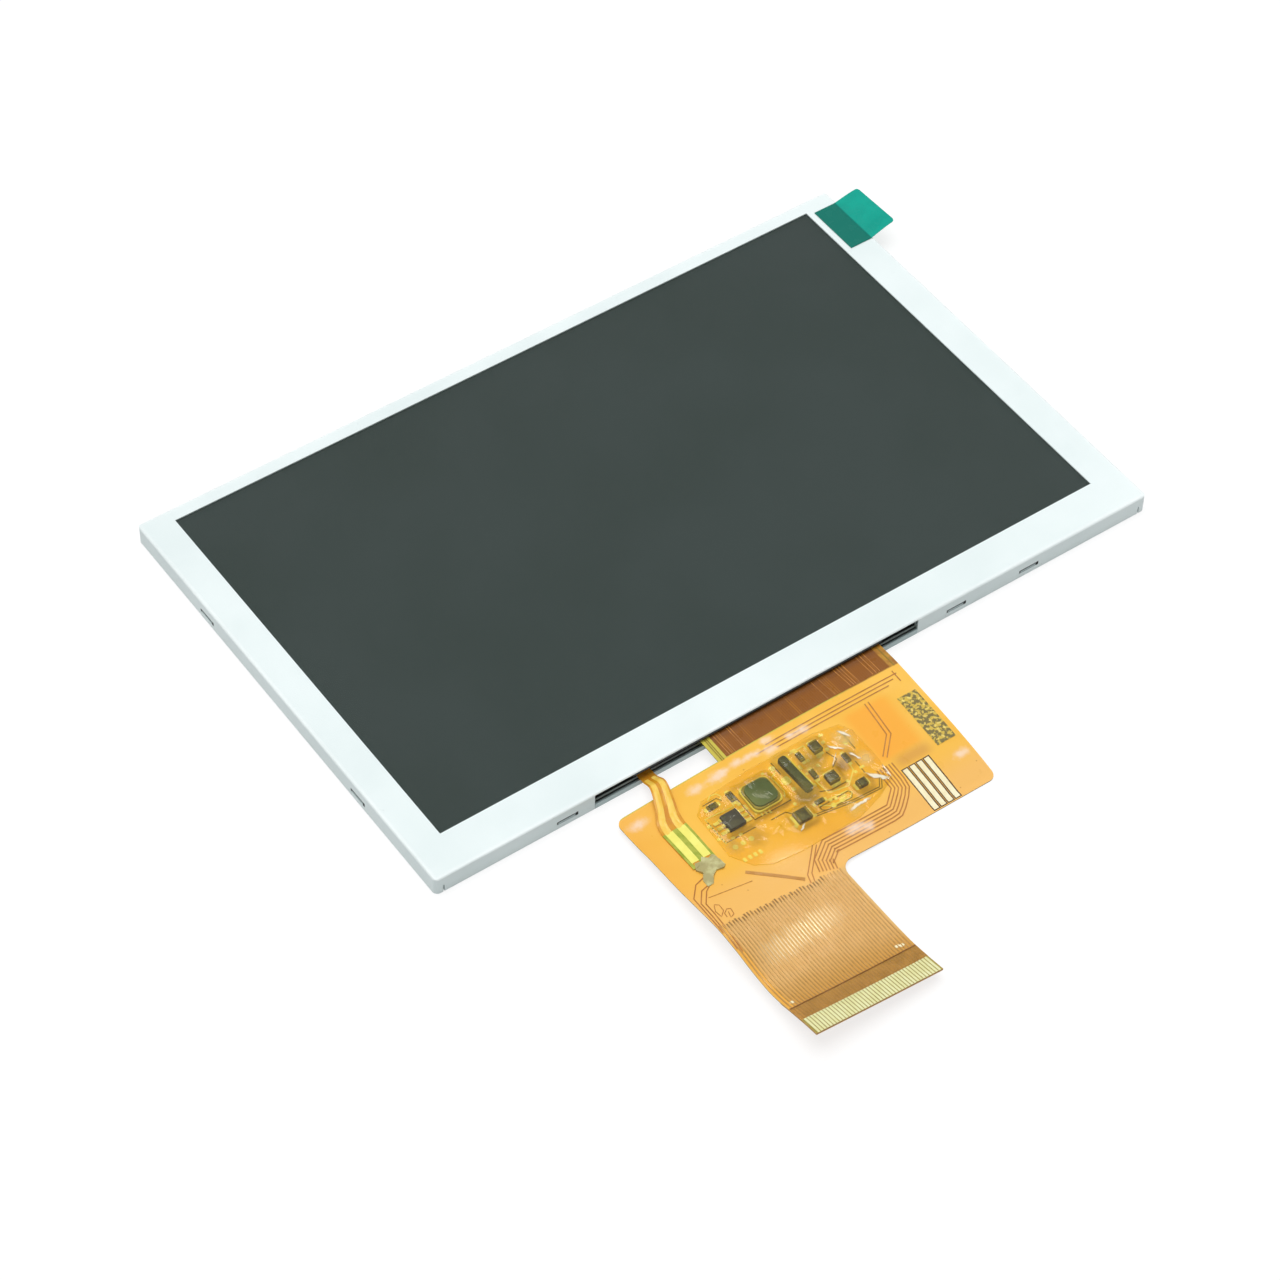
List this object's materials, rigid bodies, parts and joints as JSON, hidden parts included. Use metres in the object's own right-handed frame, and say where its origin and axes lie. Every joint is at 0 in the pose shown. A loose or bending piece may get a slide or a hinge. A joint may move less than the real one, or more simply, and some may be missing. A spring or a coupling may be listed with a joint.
{
  "type": "tft display module",
  "caption": "Flat rectangular colour display panel in a folded steel frame with side latches, a corner pull tab, and an orange flexible circuit carrying small parts and a contact tail.",
  "frame": {"origin": "centre of the module's outline on its flat rear face", "axes": "+Z out of the screen, +X along the module's long side, -Y towards the edge where the flexible circuit leaves"},
  "size_m": [0.1246, 0.1239, 0.0045],
  "materials": {
    "bezel_steel": "pale satin steel",
    "chassis_steel": "satin steel",
    "frame_plastic": "matt moulded",
    "white_sheet": "matt white",
    "acrylic": "clear acrylic",
    "led_resin": "phosphor resin",
    "yellow_polyimide": "semi-gloss film",
    "black_tape": "matt black",
    "polariser": "anti-glare, dark grey-green",
    "cell_glass": "thin display glass",
    "chip_black": "moulded epoxy",
    "clear_film": "clear film",
    "teal_film": "teal film",
    "orange_polyimide": "satin polyimide",
    "copper": "copper under polyimide",
    "gold_plate": "pale gold plate",
    "brown_coverlay": "semi-gloss film",
    "olive_print": "printed block",
    "solder": "dull solder",
    "ferrite": "dull ferrite",
    "ceramic": "fired ceramic",
    "amber_tape": "glossy amber film"
  },
  "bodies": {
    "root": {"front_bezel": "bezel_steel", "rear_chassis": "chassis_steel", "mould_frame": "frame_plastic", "reflector_sheet": "white_sheet", "light_guide_plate": "acrylic", "backlight_leds": "led_resin", "led_flex": "yellow_polyimide", "diffuser_sheet": "white_sheet", "lower_prism_sheet": "acrylic", "upper_prism_sheet": "acrylic", "rim_tape": "black_tape", "rear_polariser": "polariser", "tft_glass": "cell_glass", "colour_filter_glass": "cell_glass", "front_polariser": "polariser", "driver_ic": "chip_black", "protective_film": "clear_film", "pull_tab": "teal_film", "flex_circuit": "orange_polyimide", "neck_traces": "copper", "body_traces": "copper", "tail_traces": "copper", "contact_fingers": "gold_plate", "end_coverlay": "brown_coverlay", "tail_stiffener": "orange_polyimide", "touch_pads": "gold_plate", "marking_patch": "olive_print", "test_pads": "gold_plate", "backlight_pads": "gold_plate", "solder_joint": "solder", "power_inductor": "ferrite", "boost_chip": "chip_black", "chip_leads": "gold_plate", "slim_diode": "chip_black", "ceramic_capacitors": "ceramic", "chip_resistors": "chip_black", "component_tape": "amber_tape"}
  },
  "joints": []
}
